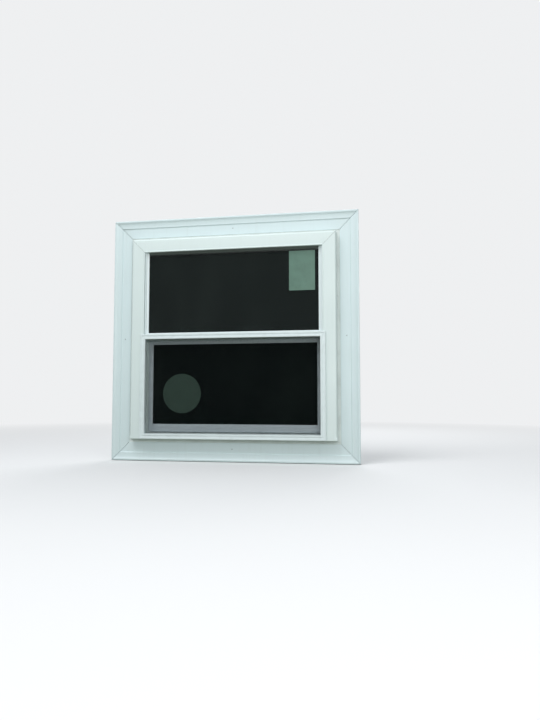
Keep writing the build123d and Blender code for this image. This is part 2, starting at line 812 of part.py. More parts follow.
def make_lock_lever():
    """The left lock's lever: shaft, handle and the hanging cam finger on its arm, drawn back."""
    x = -lock_spacing / 2
    high = sash_top + lock_height
    cam_z = sash_top + cam_low
    cam_top = cam_z + cam_height
    disc = rod("Z", (x, lock_pivot_y), cam_outer, cam_z, cam_top)
    disc -= rod("Z", (x, lock_pivot_y), cam_inner, cam_z - 1, cam_top + 1)
    reach = cam_outer * 2
    wedge = outline((0, 0), Vector(reach, 0).rotate(Axis.Z, 90 - cam_half_angle),
                    Vector(reach, 0).rotate(Axis.Z, 90 + cam_half_angle))
    sector = Pos(x, lock_pivot_y, cam_z - 1) * extrude(wedge, amount=cam_height + 2)
    arm = box((x - 4, lock_pivot_y, cam_top - cam_arm), (x + 4, lock_pivot_y + cam_inner + 0.8, cam_top))
    shaft = rod("Z", (x, lock_pivot_y), pivot_radius, cam_top - cam_arm, high + 2)
    handle = box((x - lever_length * 0.2, lock_pivot_y - 5, high + 0.5),
                 (x + lever_length * 0.8, lock_pivot_y + 5, high + 4))
    handle = fillet(handle.edges().filter_by(Axis.Z), 4)
    return (disc & sector) + arm + shaft + handle


def make_keepers():
    """Keepers on the meeting rail: a plate with the upright tongue that the cam hooks behind."""
    keepers = []
    z = rail_upstand_top
    for sign in (-1, 1):
        x = sign * lock_spacing / 2
        plate_part = box((x - keeper_length / 2, leg_front + 0.4, z),
                         (x + keeper_length / 2, box_back - 0.4, z + 2))
        tongue = box((x - keeper_tongue / 2, box_back - 2.4, z),
                     (x + keeper_tongue / 2, box_back - 0.4, z + keeper_rise))
        keeper = plate_part + tongue
        for side in (-1, 1):
            place = (x + side * keeper_length * 0.36, (leg_front + box_back) / 2)
            keeper -= pin("Z", place, screw_radius + 0.2, z - 1, z + 3)
        keepers.append(keeper)
    return keepers


def make_latch(sign):
    """A tilt latch: a fixed housing on the top rail's end and the sliding bolt with its thumb tab."""
    low, high = sash_top, sash_top + latch_height
    bolt_y = (slot_low + slot_high) / 2
    outer = sash_half - 1
    inner = outer - latch_length
    housing = box((inner, latch_front, low), (outer, sash_back - 0.5, high))
    housing = chamfer(housing.edges().filter_by(Axis.X).sort_by(Axis.Z)[-2:], 1.5)
    bolt_low, bolt_high = low + 1.5, low + 5.5
    gap = 0.3
    housing -= box((inner - 1, bolt_y - tongue_width / 2 - gap, bolt_low - gap),
                   (outer + 1, bolt_y + tongue_width / 2 + gap, bolt_high + gap))
    tab_low = inner + 14
    tab_length = 12.0
    housing -= box((tab_low - 1, bolt_y - tongue_width / 2 - gap, low + 3),
                   (tab_low + tab_length + latch_travel + 1, bolt_y + tongue_width / 2 + gap, high + 1))
    housing -= pin("Z", (outer - 8, sash_back - 3.8), screw_radius, low - 1, high + 1)
    bolt = box((inner + 2, bolt_y - tongue_width / 2, bolt_low),
               (sash_half - 0.5, bolt_y + tongue_width / 2, bolt_high))
    tab = box((tab_low, bolt_y - tongue_width / 2, bolt_low),
              (tab_low + tab_length, bolt_y + tongue_width / 2, high + 3))
    bolt = bolt + fillet(tab.edges().filter_by(Axis.Y).sort_by(Axis.Z)[-2:], 1.5)
    if sign < 0:
        return mirror(housing, about=Plane.YZ), mirror(bolt, about=Plane.YZ)
    return housing, bolt


def make_screws():
    """The keepers' screws in the meeting rail, and the locks' and latches' screws in the sash."""
    frame_screws = []
    sash_screws = []
    for sign in (-1, 1):
        x = sign * lock_spacing / 2
        for side in (-1, 1):
            place = (x + side * keeper_length * 0.36, (leg_front + box_back) / 2)
            frame_screws.append(screw("Z", place, rail_upstand_top - keeper_screw_length,
                                       rail_upstand_top + 2, 1.6))
            place = (x + side * lock_screw_offset, (lock_front + lock_back) / 2)
            sash_screws.append(screw("Z", place, sash_top - lock_screw_length,
                                     sash_top + lock_height - lock_screw_sink, 1.6))
        edge = sign * sash_half
        place = (edge - sign * 9, sash_back - 3.8)
        sash_screws.append(screw("Z", place, sash_top - latch_screw_length,
                                 sash_top + latch_height, 1.2, 2.9))
    return frame_screws, sash_screws


def make_rectangular_label():
    """The plain label in the upper right corner of the upper light's outer pane."""
    right = opening_half - rectangle_label_side
    top = opening_top - rectangle_label_drop
    return box((right - rectangle_label_width, upper_glass_front - label_thickness,
                top - rectangle_label_height), (right, upper_glass_front, top))


def make_round_label():
    """The plain round label towards the lower left of the sash's outer pane."""
    x = -opening_half + round_label_side + round_label_radius
    z = sash_bottom + round_label_rise + round_label_radius
    return rod("Y", (x, z), round_label_radius, lower_glass_front - label_thickness,
               lower_glass_front)


def as_shape(piece):
    """One shape from a piece or from a list of pieces, each a separate solid."""
    if not isinstance(piece, (list, tuple)):
        return piece
    solids = [solid for item in piece for solid in item.solids()]
    return Compound(children=solids)


def build():
    parts = {
        "frame_head": mitred(frame_section(), frame_rect, "top", frame_reach),
        "frame_jamb_left": make_jamb("left"),
        "frame_jamb_right": make_jamb("right"),
        "frame_sill": make_sill(),
        "meeting_rail": make_meeting_rail(),
        "upper_glass_outer": plate(upper_glass_rect, upper_glass_front, upper_outer_back),
        "upper_glass_inner": plate(upper_glass_rect, upper_inner_front, upper_back),
        "upper_spacer": ring(rectangle((0, upper_outer_back), (spacer_width, upper_inner_front)),
                             upper_glass_rect, spacer_width + 1),
        "upper_glazing_tape": strips(rectangle((1, upper_back), (spacer_width - 1, leg_front)),
                                     upper_glass_rect, spacer_width),
        "upper_setting_blocks": make_blocks(upper_glass_rect, upper_glass_front, upper_back,
                                            pane_clearance),
        "lower_glass_outer": plate(lower_glass_rect, lower_glass_front, lower_outer_back),
        "lower_glass_inner": plate(lower_glass_rect, lower_inner_front, lower_back),
        "lower_spacer": ring(rectangle((0, lower_outer_back), (spacer_width, lower_inner_front)),
                             lower_glass_rect, spacer_width + 1),
        "lower_glazing_tape": strips(rectangle((1, lower_back), (sash_leg - sash_gap, lower_leg_front)),
                                     lower_glass_rect, sash_leg),
        "lower_setting_blocks": make_blocks(lower_glass_rect, lower_glass_front, lower_back, sash_gap),
        "upper_label": make_rectangular_label(),
        "lower_label": make_round_label(),
        "perimeter_sealant": make_sealant(),
        "lock_keepers": make_keepers(),
    }
    for groove in mitre_grooves(frame_rect, joint_groove, front_y - 1, frame_front + 1.2)[1::2]:
        for name in ("frame_head", "frame_jamb_left", "frame_jamb_right"):
            parts[name] -= groove
    parts.update(make_upper_beads())
    parts.update(make_casing())
    parts.update(make_screen())
    parts.update(make_sash_members())
    parts.update(make_lower_beads())
    parts.update(make_balances())
    parts["sash_pile_seals"], parts["sash_bulb_seal"] = make_seals()
    parts["frame_screws"], parts["sash_screws"] = make_screws()
    parts["lock_bases"] = [make_lock_base(-lock_spacing / 2), make_lock_base(lock_spacing / 2)]
    parts["lock_lever_left"] = make_lock_lever()
    parts["lock_lever_right"] = mirror(parts["lock_lever_left"], about=Plane.YZ)
    left_housing, parts["tilt_latch_left"] = make_latch(-1)
    right_housing, parts["tilt_latch_right"] = make_latch(1)
    parts["latch_housings"] = [left_housing, right_housing]
    nails = make_nails()
    parts["casing_nails"] = nails
    for side in ("left", "right", "top", "bottom"):
        for nail in nails:
            parts["casing_" + side] -= nail
    for rail in ("sash_top_rail", "sash_stile_left", "sash_stile_right"):
        for fastener in parts["sash_screws"]:
            parts[rail] -= fastener
    for fastener in parts["frame_screws"]:
        parts["meeting_rail"] -= fastener
    return parts


def main():
    os.makedirs("parts", exist_ok=True)
    for name, piece in build().items():
        export_step(as_shape(piece), "parts/" + name + ".step")


main()
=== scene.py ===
import json
import math

import bmesh
import bpy
from bpy.props import FloatProperty, FloatVectorProperty, IntProperty, PointerProperty
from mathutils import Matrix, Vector


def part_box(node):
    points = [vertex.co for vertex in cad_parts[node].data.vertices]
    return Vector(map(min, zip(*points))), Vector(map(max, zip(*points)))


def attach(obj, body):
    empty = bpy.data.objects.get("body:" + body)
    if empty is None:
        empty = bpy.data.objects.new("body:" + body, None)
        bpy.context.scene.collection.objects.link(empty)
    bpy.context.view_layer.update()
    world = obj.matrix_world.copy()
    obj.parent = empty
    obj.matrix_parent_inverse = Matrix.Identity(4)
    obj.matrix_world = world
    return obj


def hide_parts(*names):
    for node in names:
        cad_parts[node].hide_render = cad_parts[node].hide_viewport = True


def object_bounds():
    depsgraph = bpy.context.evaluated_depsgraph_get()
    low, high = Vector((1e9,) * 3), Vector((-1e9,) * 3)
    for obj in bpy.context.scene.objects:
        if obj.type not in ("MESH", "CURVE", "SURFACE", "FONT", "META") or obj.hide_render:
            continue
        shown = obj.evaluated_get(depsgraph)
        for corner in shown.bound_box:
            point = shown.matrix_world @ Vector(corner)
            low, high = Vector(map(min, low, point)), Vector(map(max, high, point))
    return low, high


bl_info = {
    "name": "Sash Window Dresser",
    "version": (1, 0, 0),
    "blender": (4, 5, 0),
    "location": "3D View > Sidebar > Sash Window",
    "description": "Finishes, insect mesh, seals, springs and screws for a vinyl single-hung window",
    "category": "Object",
}

SIDES = ("left", "right", "top", "bottom")

# Colours that belong to no single piece; the ground's is what the floor throws back on the window
BACKGROUND = (0.86, 0.87, 0.88, 1.0)
SKY = (0.93, 0.97, 1.0, 1.0)
GROUND = (0.20, 0.22, 0.17, 1.0)
JOINT_DIRT = (0.10, 0.11, 0.10)
# Painted reflection: faint greenish clouds on the panes, standing in for reflected greenery
GLASS_PAINTED_REFLECTION = (0.040, 0.055, 0.048)
GLASS_SPECKS = (0.20, 0.22, 0.20)
ENAMEL_CHIPS = (0.25, 0.25, 0.22)

# All lengths are in metres: how close vertices merge
MERGE = 1e-6
MERGE_THREADS = 1e-7

# Insect mesh: its edge under the spline, and how far its middle is in front of the solid's back
MESH_INSET = 0.0012
MESH_DEPTH = 0.0003

# Pile seals: half sizes of a tuft's root, the backing strip and the free gap at the tips
TUFT_HALF_WIDTH = 0.0010
TUFT_HALF_LENGTH = 0.0006
PILE_BASE = 0.0015
PILE_CLEARANCE = 0.0001

# Balance springs: thickness of the strip and inner radius of the coil
SPRING_STRIP = 0.0004
COIL_BORE = 0.0084

# Screws: radius of the shank, height of the head, rings of thread and sides of the round
SCREW_SHANK = 0.0021
SCREW_HEAD_HEIGHT = 0.0016
SCREW_THREADS = 7
SCREW_SIDES = 20

# Floor: gap under the casing, radius, sides, and where it fades into the background
FLOOR_DROP = 0.002
FLOOR_REACH = 14.0
FLOOR_SIDES = 48
FADE_START = 0.9
FADE_END = 4.5

# Lamps: name, place, target, size and share of the key light's power
LAMPS = (
    ("key_lamp", (-0.9, -1.9, 3.6), (0.0, 0.0, 0.45), 2.0, 1.0),
    ("fill_lamp", (1.4, -3.4, 0.9), (0.0, 0.0, 0.4), 2.2, 0.74),
    ("room_lamp", (0.4, 2.8, 2.2), (0.0, 0.0, 0.45), 2.4, 0.55),
)

# Places of sockets whose names are not unique: colours of a mix node, floats of a random node
COLOUR_A, COLOUR_B, COLOUR_OUT = 6, 7, 2
FLOAT_MIN, FLOAT_MAX, FLOAT_OUT = 2, 3, 1

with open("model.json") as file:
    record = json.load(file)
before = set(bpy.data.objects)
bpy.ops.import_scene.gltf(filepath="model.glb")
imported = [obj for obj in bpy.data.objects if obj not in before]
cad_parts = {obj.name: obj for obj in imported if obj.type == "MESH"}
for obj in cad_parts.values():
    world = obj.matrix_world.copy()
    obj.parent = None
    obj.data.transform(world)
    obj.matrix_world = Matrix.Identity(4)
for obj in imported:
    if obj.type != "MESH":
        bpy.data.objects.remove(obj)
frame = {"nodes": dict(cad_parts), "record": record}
cad_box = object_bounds()
nodes = frame["nodes"]
bodies_record = frame["record"]["behaviour"]["bodies"]


def colour(name, description, default):
    """A colour property for a panel."""
    return FloatVectorProperty(name=name, description=description, default=default, size=3,
                               min=0.0, max=1.0, subtype="COLOR")


class VinylSettings(bpy.types.PropertyGroup):
    """Colours and surface of the white vinyl"""

    frame_colour: colour("Frame", "Colour of the window frame", (0.685, 0.785, 0.785))
    # Painted shade: the sash is the same white vinyl as the frame, given a darker, bluer colour to paint
    # the shade in its recess behind the insect mesh
    sash_painted_shade_colour: colour("Sash", "Colour of the sliding sash", (0.60, 0.69, 0.74))
    bead_colour: colour("Beads", "Colour of the glazing beads", (0.74, 0.83, 0.85))
    # Painted shade: the top bead is white vinyl like the others, painted near black for the head's shadow
    # on it
    painted_shade_colour: colour("Top bead", "Colour of the bead in the head's shadow", (0.085, 0.105, 0.10))
    casing_colour: colour("Casing", "Colour of the exterior casing", (0.645, 0.760, 0.785))
    sealant_colour: colour("Sealant", "Colour of the tooled sealant", (0.64, 0.71, 0.70))
    grime_colour: colour("Grime", "Colour of the dust that rain leaves behind", (0.30, 0.32, 0.26))
    roughness: FloatProperty(name="Roughness", description="How matt the vinyl is", default=0.42,
                             min=0.0, max=1.0, subtype="FACTOR")
    peel_depth: FloatProperty(name="Peel depth", description="Depth of the fine skin texture",
                              default=0.00005, min=0.0, unit="LENGTH")
    joint_width: FloatProperty(name="Joint width", description="Half width of the dirt in the mitres",
                               default=0.0007, min=0.0, unit="LENGTH")


class GlassSettings(bpy.types.PropertyGroup):
    """Tint and gloss of the glass panes, whose near-black is painted shade of the dark room behind them"""

    # Painted shade: the tint and the two covers make each pane a part-opaque near-black sheet, the inner
    # one almost solid, that stands in for the dark room behind the glass
    tint: colour("Tint", "Colour that shows in the panes", (0.008, 0.013, 0.012))
    outer_painted_shade: FloatProperty(name="Outer tint", description="How much the outer pane hides",
                               default=0.45, min=0.0, max=1.0, subtype="FACTOR")
    inner_painted_shade: FloatProperty(name="Inner tint", description="How much the inner pane hides",
                               default=0.965, min=0.0, max=1.0, subtype="FACTOR")
    # Painted shade: the labels keep a green tint but are darkened to paint the dim light on pale films
    # behind the panes
    label_colour: colour("Label", "Colour of the rectangular label", (0.098, 0.194, 0.150))
    round_label_colour: colour("Round label", "Colour of the round label", (0.050, 0.092, 0.072))


class InsectMeshSettings(bpy.types.PropertyGroup):
    """Weave of the insect screen"""

    pitch_across: FloatProperty(name="Pitch across", description="Distance between upright threads",
                                default=0.00145, min=0.0005, unit="LENGTH")
    pitch_up: FloatProperty(name="Pitch up", description="Distance between level threads",
                            default=0.00155, min=0.0005, unit="LENGTH")
    thread: FloatProperty(name="Thread", description="Thread diameter", default=0.00028,
                          min=0.0001, unit="LENGTH")
    thread_colour: colour("Threads", "Colour of the coated fibre", (0.006, 0.008, 0.009))
    bar_colour: colour("Bars", "Colour of the screen's bars", (0.70, 0.79, 0.81))


class HardwareSettings(bpy.types.PropertyGroup):
    """Seals, springs and screws"""

    tuft_pitch: FloatProperty(name="Tuft pitch", description="Distance between pile tufts",
                              default=0.0016, min=0.0005, unit="LENGTH")
    spring_turns: IntProperty(name="Spring turns", description="Turns of each balance coil",
                              default=7, min=2, max=20)
    steel_colour: colour("Steel", "Colour of springs and screws", (0.46, 0.46, 0.45))
    lock_colour: colour("Locks", "Colour of locks and latches", (0.72, 0.78, 0.78))


class StageSettings(bpy.types.PropertyGroup):
    """Camera, lamps and floor"""

    viewpoint: FloatVectorProperty(name="Viewpoint", description="Where the camera stands",
                                   default=(0.605, -2.538, 0.188), size=3, subtype="TRANSLATION",
                                   unit="LENGTH")
    turn: FloatProperty(name="Turn", description="How far the camera turns to the left",
                        default=math.radians(9.74), subtype="ANGLE", unit="ROTATION")
    tilt: FloatProperty(name="Tilt", description="How far the camera looks up",
                        default=math.radians(3.67), subtype="ANGLE", unit="ROTATION")
    lens: FloatProperty(name="Lens", description="Focal length in millimetres", default=29.0,
                        min=10.0, unit="CAMERA")
    sky_power: FloatProperty(name="Sky light", description="Strength of the even light", default=0.48,
                             min=0.0)
    key_power: FloatProperty(name="Key light", description="Power of the large lamp", default=81.0,
                             min=0.0, unit="POWER")
    floor_colour: colour("Floor", "Colour of the floor", (0.80, 0.81, 0.82))


GROUPS = {
    "window_vinyl": VinylSettings,
    "window_glass": GlassSettings,
    "window_insect_mesh": InsectMeshSettings,
    "window_hardware": HardwareSettings,
    "window_stage": StageSettings,
}


def body_of_node(node):
    """The name of the body that carries a node."""
    for body, members in bodies_record.items():
        if node in members:
            return body
    raise RuntimeError("no body carries " + node)


class Finish:
    """A procedural material built from readable steps."""

    def __init__(self, name, base, roughness, metallic=0.0, alpha=1.0, specular=0.5):
        self.material = bpy.data.materials.new(name)
        self.material.use_nodes = True
        self.tree = self.material.node_tree
        self.shader = self.tree.nodes["Principled BSDF"]
        self.shader.inputs["Roughness"].default_value = roughness
        self.shader.inputs["Metallic"].default_value = metallic
        self.shader.inputs["Alpha"].default_value = alpha
        self.shader.inputs["Specular IOR Level"].default_value = specular
        self.shader.inputs["Base Color"].default_value = (*base, 1.0)
        self.material.diffuse_color = (*base, alpha)
        self.colour = None
        self.base = base
        self.height = None
        self.place = self.tree.nodes.new("ShaderNodeTexCoord")

    def link(self, output, socket):
        self.tree.links.new(output, socket)

    def noise(self, scale, detail=3.0, stretch=(1.0, 1.0, 1.0)):
        """Noise in the object's own coordinates."""
        mapping = self.tree.nodes.new("ShaderNodeMapping")
        mapping.inputs["Scale"].default_value = stretch
        texture = self.tree.nodes.new("ShaderNodeTexNoise")
        texture.inputs["Scale"].default_value = scale
        texture.inputs["Detail"].default_value = detail
        self.link(self.place.outputs["Object"], mapping.inputs["Vector"])
        self.link(mapping.outputs["Vector"], texture.inputs["Vector"])
        return texture.outputs["Fac"]

    def ranged(self, value, low, high, out_low=0.0, out_high=1.0):
        """Stretches a value's range to another, clamped at both ends."""
        step = self.tree.nodes.new("ShaderNodeMapRange")
        step.inputs["From Min"].default_value = low
        step.inputs["From Max"].default_value = high
        step.inputs["To Min"].default_value = out_low
        step.inputs["To Max"].default_value = out_high
        self.link(value, step.inputs["Value"])
        return step.outputs["Result"]

    def tint(self, factor, other):
        """Mixes another colour over what is there, where the factor is high."""
        mix = self.tree.nodes.new("ShaderNodeMix")
        mix.data_type = "RGBA"
        self.link(factor, mix.inputs["Factor"])
        if self.colour is None:
            mix.inputs[COLOUR_A].default_value = (*self.base, 1.0)
        else:
            self.link(self.colour, mix.inputs[COLOUR_A])
        mix.inputs[COLOUR_B].default_value = (*other, 1.0)
        self.colour = mix.outputs[COLOUR_OUT]
        self.link(self.colour, self.shader.inputs["Base Color"])
        return self

    def stain(self, value, low, high, strength, other):
        """Another colour that comes in as a value rises from low to high, up to a strength."""
        return self.tint(self.ranged(value, low, high, 0.0, strength), other)

    def vary_roughness(self, value, low, high):
        """Lets a noise move the roughness between two values."""
        self.link(self.ranged(value, 0.3, 0.7, low, high), self.shader.inputs["Roughness"])
        return self

    def bump(self, value, distance, strength=1.0):
        """Adds a relief of the given depth in metres."""
        step = self.tree.nodes.new("ShaderNodeBump")
        step.inputs["Strength"].default_value = strength
        step.inputs["Distance"].default_value = distance
        self.link(value, step.inputs["Height"])
        if self.height is not None:
            self.link(self.height, step.inputs["Normal"])
        self.height = step.outputs["Normal"]
        self.link(self.height, self.shader.inputs["Normal"])
        return self

    def math(self, operation, *values):
        """One arithmetic step on sockets and numbers."""
        step = self.tree.nodes.new("ShaderNodeMath")
        step.operation = operation
        for socket, value in zip(step.inputs, values):
            if isinstance(value, float):
                socket.default_value = value
            else:
                self.link(value, socket)
        return step.outputs[0]

    def joint_lines(self, low, high, width, both_ends=True):
        """Dirt along the mitres of a ring whose outer box is given: at its top, or also at its bottom."""
        axes = self.tree.nodes.new("ShaderNodeSeparateXYZ")
        self.link(self.place.outputs["Object"], axes.inputs[0])
        middle_x = (low[0] + high[0]) / 2
        middle_z = (low[2] + high[2]) / 2
        across = self.math("ABSOLUTE", self.math("SUBTRACT", axes.outputs["X"], middle_x))
        upward = self.math("SUBTRACT", axes.outputs["Z"], middle_z)
        if both_ends:
            upward = self.math("ABSOLUTE", upward)
        excess = (high[0] - low[0]) / 2 - (high[2] - low[2]) / 2
        offset = self.math("SUBTRACT", self.math("SUBTRACT", across, upward), excess)
        near = self.ranged(self.math("ABSOLUTE", offset), width * 0.5, width, 0.85, 0.0)
        return self.tint(near, JOINT_DIRT)


def shade(base, factor):
    """A colour made darker or lighter by a factor."""
    return tuple(min(1.0, channel * factor) for channel in base)


def vinyl_finish(name, base, grime=0.05):
    """Satin vinyl: fine skin, cloudy tone, faint rain streaks and scattered dust."""
    settings = bpy.context.scene.window_vinyl
    finish = Finish(name, base, settings.roughness)
    cloud = finish.noise(5.0, detail=4.0)
    finish.stain(cloud, 0.35, 0.75, 0.5, shade(base, 0.94))
    streak = finish.noise(9.0, detail=3.0, stretch=(9.0, 9.0, 0.5))
    finish.stain(streak, 0.52, 0.85, grime, settings.grime_colour)
    dust = finish.noise(260.0, detail=2.0)
    finish.stain(dust, 0.66, 0.80, grime * 1.4, settings.grime_colour)
    finish.vary_roughness(cloud, settings.roughness - 0.06, settings.roughness + 0.10)
    finish.bump(finish.noise(1800.0, detail=2.0), distance=settings.peel_depth, strength=0.5)
    finish.bump(finish.noise(24.0, detail=2.0, stretch=(1.0, 1.0, 0.4)), distance=0.0004, strength=0.25)
    return finish


def sealant_finish():
    """Tooled sealant: soft ripples along the band, with dust held in it."""
    settings = bpy.context.scene.window_vinyl
    base = settings.sealant_colour
    finish = Finish("tooled_sealant", base, 0.55)
    finish.stain(finish.noise(14.0, detail=5.0), 0.40, 0.75, 0.65, shade(base, 0.78))
    finish.stain(finish.noise(150.0, detail=3.0), 0.60, 0.78, 0.35, settings.grime_colour)
    finish.bump(finish.noise(60.0, detail=3.0), distance=0.0009, strength=0.5)
    finish.bump(finish.noise(420.0, detail=2.0), distance=0.00025, strength=0.5)
    return finish.material


def glass_finish(name, cover, gloss=0.30):
    """A pane drawn as a part-opaque near-black sheet, painted shade of the dark room behind it, with a
    clean gloss, faint greenish clouds of painted reflection and specks of dust.
    """
    settings = bpy.context.scene.window_glass
    # Painted shade: the alpha makes the pane a near-black sheet standing in for the dark room behind
    finish = Finish(name, settings.tint, 0.03, alpha=cover, specular=gloss)
    # Painted reflection: greenish clouds laid over the dark pane
    film = finish.noise(7.0, detail=5.0, stretch=(1.0, 1.0, 0.35))
    finish.stain(film, 0.45, 0.85, 0.30, GLASS_PAINTED_REFLECTION)
    specks = finish.noise(420.0, detail=1.0)
    finish.stain(specks, 0.74, 0.82, 0.5, GLASS_SPECKS)
    finish.bump(finish.noise(2.2, detail=1.0), distance=0.0012, strength=0.10)
    finish.material.surface_render_method = "BLENDED"
    return finish.material


def metal_finish(name, base, roughness, stretch=(1.0, 1.0, 1.0)):
    """Metal with fine drawn lines and slight staining."""
    finish = Finish(name, base, roughness, metallic=1.0)
    finish.stain(finish.noise(60.0, detail=4.0), 0.45, 0.8, 0.5, shade(base, 0.6))
    drawn = finish.noise(700.0, detail=2.0, stretch=stretch)
    finish.vary_roughness(drawn, roughness - 0.10, roughness + 0.12)
    finish.bump(drawn, distance=0.00004, strength=0.5)
    return finish.material


def painted_finish(name, base, roughness=0.35):
    """Enamel over metal, lightly pebbled and worn a shade darker in patches."""
    finish = Finish(name, base, roughness)
    finish.shader.inputs["Coat Weight"].default_value = 0.25
    finish.shader.inputs["Coat Roughness"].default_value = 0.2
    finish.stain(finish.noise(35.0, detail=4.0), 0.45, 0.8, 0.5, shade(base, 0.82))
    finish.stain(finish.noise(300.0, detail=2.0), 0.68, 0.8, 0.25, ENAMEL_CHIPS)
    finish.bump(finish.noise(900.0, detail=2.0), distance=0.00008, strength=0.5)
    return finish.material


def soft_finish(name, base, roughness=0.75, grain=500.0, depth=0.0002, gloss=0.3):
    """Rubber, foam or moulded plastic with a fine dull grain."""
    finish = Finish(name, base, roughness, specular=gloss)
    finish.stain(finish.noise(45.0, detail=4.0), 0.4, 0.8, 0.6, shade(base, 0.65))
    finish.bump(finish.noise(grain, detail=3.0), distance=depth, strength=0.5)
    return finish.material


def label_finish(name, base):
    """A plain film: paper fibres and a few dry creases, with nothing written on it."""
    finish = Finish(name, base, 0.38)
    finish.stain(finish.noise(30.0, detail=5.0), 0.40, 0.75, 0.7, shade(base, 0.72))
    fibres = finish.noise(900.0, detail=2.0, stretch=(1.0, 1.0, 0.2))
    finish.stain(fibres, 0.55, 0.8, 0.4, shade(base, 1.35))
    finish.bump(finish.noise(40.0, detail=2.0, stretch=(1.0, 1.0, 3.0)), distance=0.0008, strength=0.4)
    finish.bump(finish.noise(1100.0, detail=2.0), distance=0.00008, strength=0.5)
    return finish.material


def dress(material, *names):
    """Gives CAD nodes a finish."""
    for name in names:
        for place in nodes[name].material_slots:
            place.material = material


def cad_bounds(*names):
    """The lowest and highest corner of a few CAD nodes together."""
    corners = [nodes[name].matrix_world @ vertex.co for name in names
               for vertex in nodes[name].data.vertices]
    low = [min(corner[axis] for corner in corners) for axis in range(3)]
    high = [max(corner[axis] for corner in corners) for axis in range(3)]
    return low, high


def stand_in(name, mesh, node):
    """An object that takes the place of a CAD node: same slot, same body."""
    piece = bpy.data.objects.new(name, mesh)
    bpy.context.scene.collection.objects.link(piece)
    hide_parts(node)
    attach(piece, body_of_node(node))
    return piece


def smooth_twin(node, material, angle=math.radians(28)):
    """A merged copy of a CAD node whose curves shade smoothly and whose corners stay sharp."""
    source = nodes[node]
    mesh = bpy.data.meshes.new(node + "_smooth")
    work = bmesh.new()
    work.from_mesh(source.data)
    bmesh.ops.remove_doubles(work, verts=work.verts, dist=MERGE)
    for face in work.faces:
        face.smooth = True
        face.material_index = 0
    for edge in work.edges:
        if len(edge.link_faces) != 2 or edge.calc_face_angle(0.0) > angle:
            edge.smooth = False
    work.to_mesh(mesh)
    work.free()
    mesh.materials.clear()
    mesh.materials.append(material)
    return stand_in(node + "_finished", mesh, node)


class Tree:
    """A Geometry Nodes tree with named inputs."""

    def __init__(self, name, inputs):
        self.group = bpy.data.node_groups.new(name, "GeometryNodeTree")
        self.sockets = {}
        face = self.group.interface
        face.new_socket("Geometry", in_out="INPUT", socket_type="NodeSocketGeometry")
        for label, kind, value in inputs:
            socket = face.new_socket(label, in_out="INPUT", socket_type=kind)
            if value is not None:
                socket.default_value = value
            self.sockets[label] = socket.identifier
        face.new_socket("Geometry", in_out="OUTPUT", socket_type="NodeSocketGeometry")
        self.start = self.group.nodes.new("NodeGroupInput")
        self.end = self.group.nodes.new("NodeGroupOutput")

    def node(self, kind, links=None, **settings):
        """Adds a node, with its sockets linked or set and its settings made."""
        step = self.group.nodes.new(kind)
        for key, value in settings.items():
            setattr(step, key, value)
        for socket, source in (links or {}).items():
            target = step.inputs[socket]
            if isinstance(source, bpy.types.NodeSocket):
                self.group.links.new(source, target)
            else:
                target.default_value = source
        return step

    def given(self, label):
        """One of the tree's own inputs."""
        return self.start.outputs[label]

    def math(self, operation, first, second):
        """One arithmetic step on two sockets or numbers."""
        return self.node("ShaderNodeMath", {0: first, 1: second}, operation=operation).outputs[0]

    def finish(self, geometry, material):
        """Makes instances real, paints them and closes the tree."""
        real = self.node("GeometryNodeRealizeInstances", {"Geometry": geometry})
        paint = self.node("GeometryNodeSetMaterial", {"Geometry": real.outputs[0], "Material": material})
        self.group.links.new(paint.outputs[0], self.end.inputs[0])
        return self

    def bake(self, name, mesh, values):
        """Runs the tree on a mesh and returns the plain mesh that comes out."""
        carrier = bpy.data.objects.new(name + "_carrier", mesh)
        bpy.context.scene.collection.objects.link(carrier)
        modifier = carrier.modifiers.new("Build", "NODES")
        modifier.node_group = self.group
        for label, value in values.items():
            modifier[self.sockets[label]] = value
        graph = bpy.context.evaluated_depsgraph_get()
        result = bpy.data.meshes.new_from_object(carrier.evaluated_get(graph))
        carrier.modifiers.remove(modifier)
        bpy.data.objects.remove(carrier)
        result.name = name
        return result


def point_mesh(name, points):
    """A mesh of bare points, for a tree to set its pieces on."""
    mesh = bpy.data.meshes.new(name)
    mesh.from_pydata([tuple(point) for point in points], [], [])
    return mesh


def tidy_mesh(mesh):
    """Merges doubles and points every face outward."""
    work = bmesh.new()
    work.from_mesh(mesh)
    bmesh.ops.remove_doubles(work, verts=work.verts, dist=MERGE_THREADS)
    bmesh.ops.recalc_face_normals(work, faces=work.faces)
    work.to_mesh(mesh)
    work.free()
    return mesh


